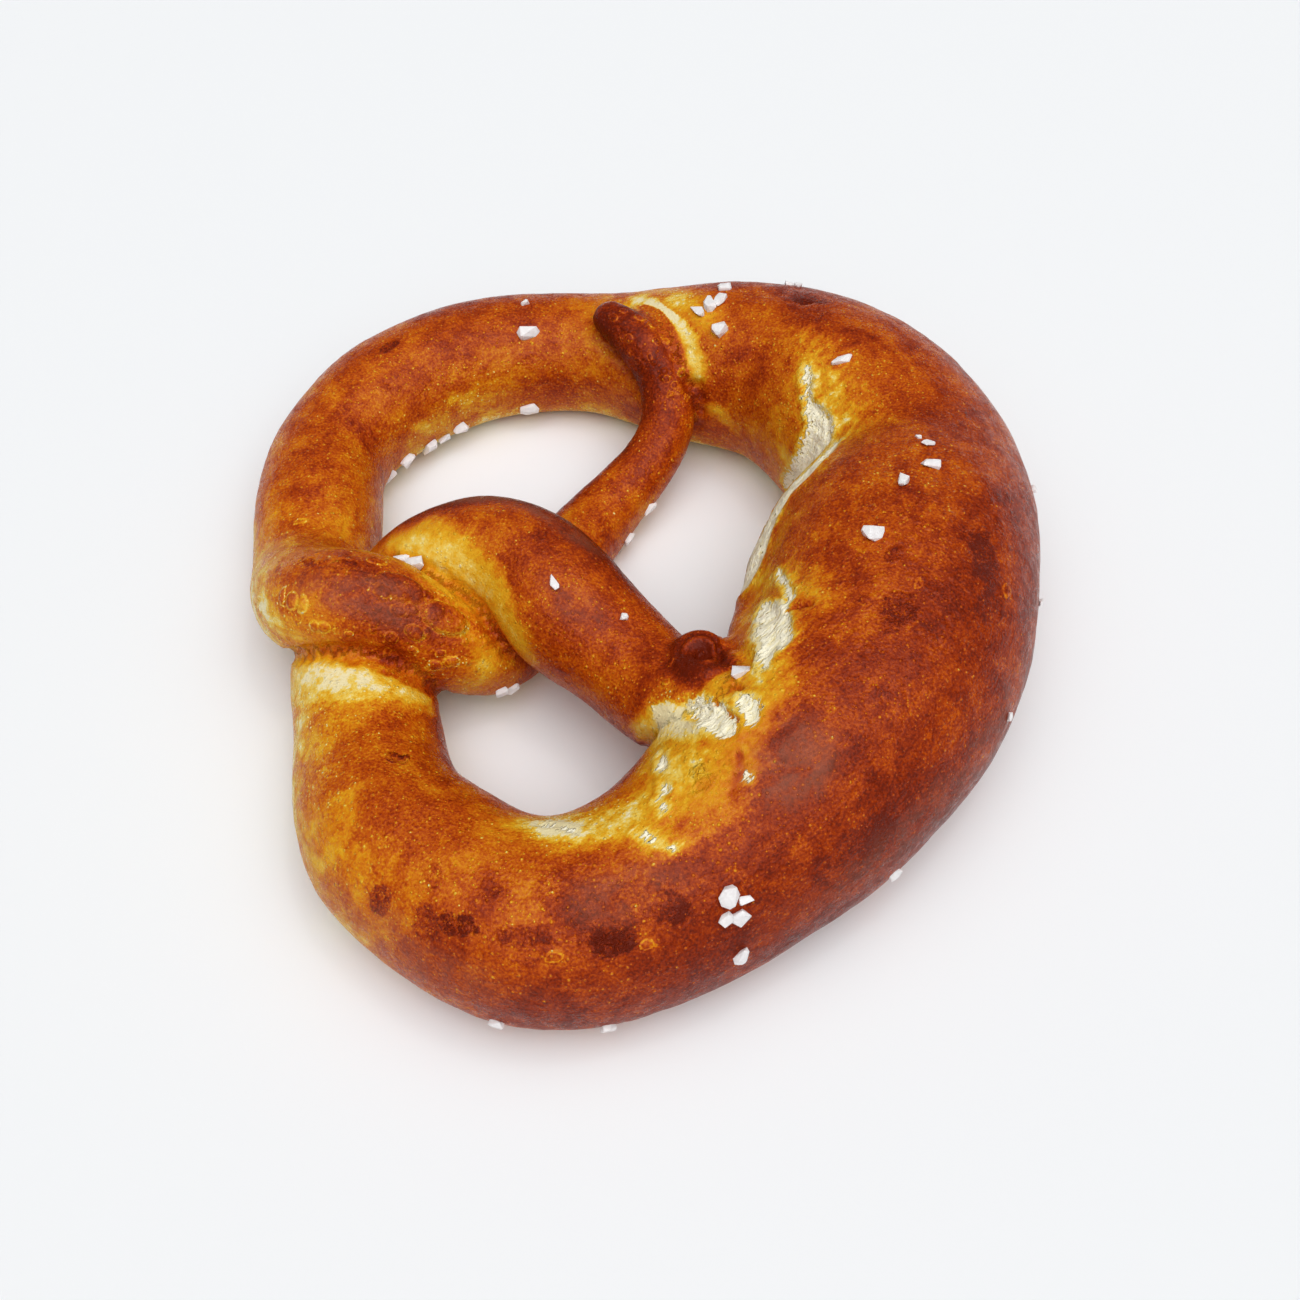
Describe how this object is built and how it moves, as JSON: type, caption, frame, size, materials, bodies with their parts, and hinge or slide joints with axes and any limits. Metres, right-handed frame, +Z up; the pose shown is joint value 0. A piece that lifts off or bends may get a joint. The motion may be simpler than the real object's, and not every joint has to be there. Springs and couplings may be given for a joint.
{
  "type": "soft pretzel",
  "caption": "Baked soft pretzel: one rope of dough with a thick belly, twisted arms and tips laid back over the ring, leaving open loops.",
  "frame": {"origin": "Centre of the bounding box in plan, on the flat base that the pretzel rests on.", "axes": "+Z up; +X from the twist towards the thick belly; +Y along the pretzel's longest side, from the near arm to the far arm."},
  "size_m": [0.1325, 0.1468, 0.0386],
  "materials": {
    "crust": "glossy orange-brown lye crust, paler and yellow in the creases, with white torn crumb",
    "salt": "matt white coarse salt grains"
  },
  "bodies": {
    "root": {"pretzel": "crust"}
  },
  "joints": []
}
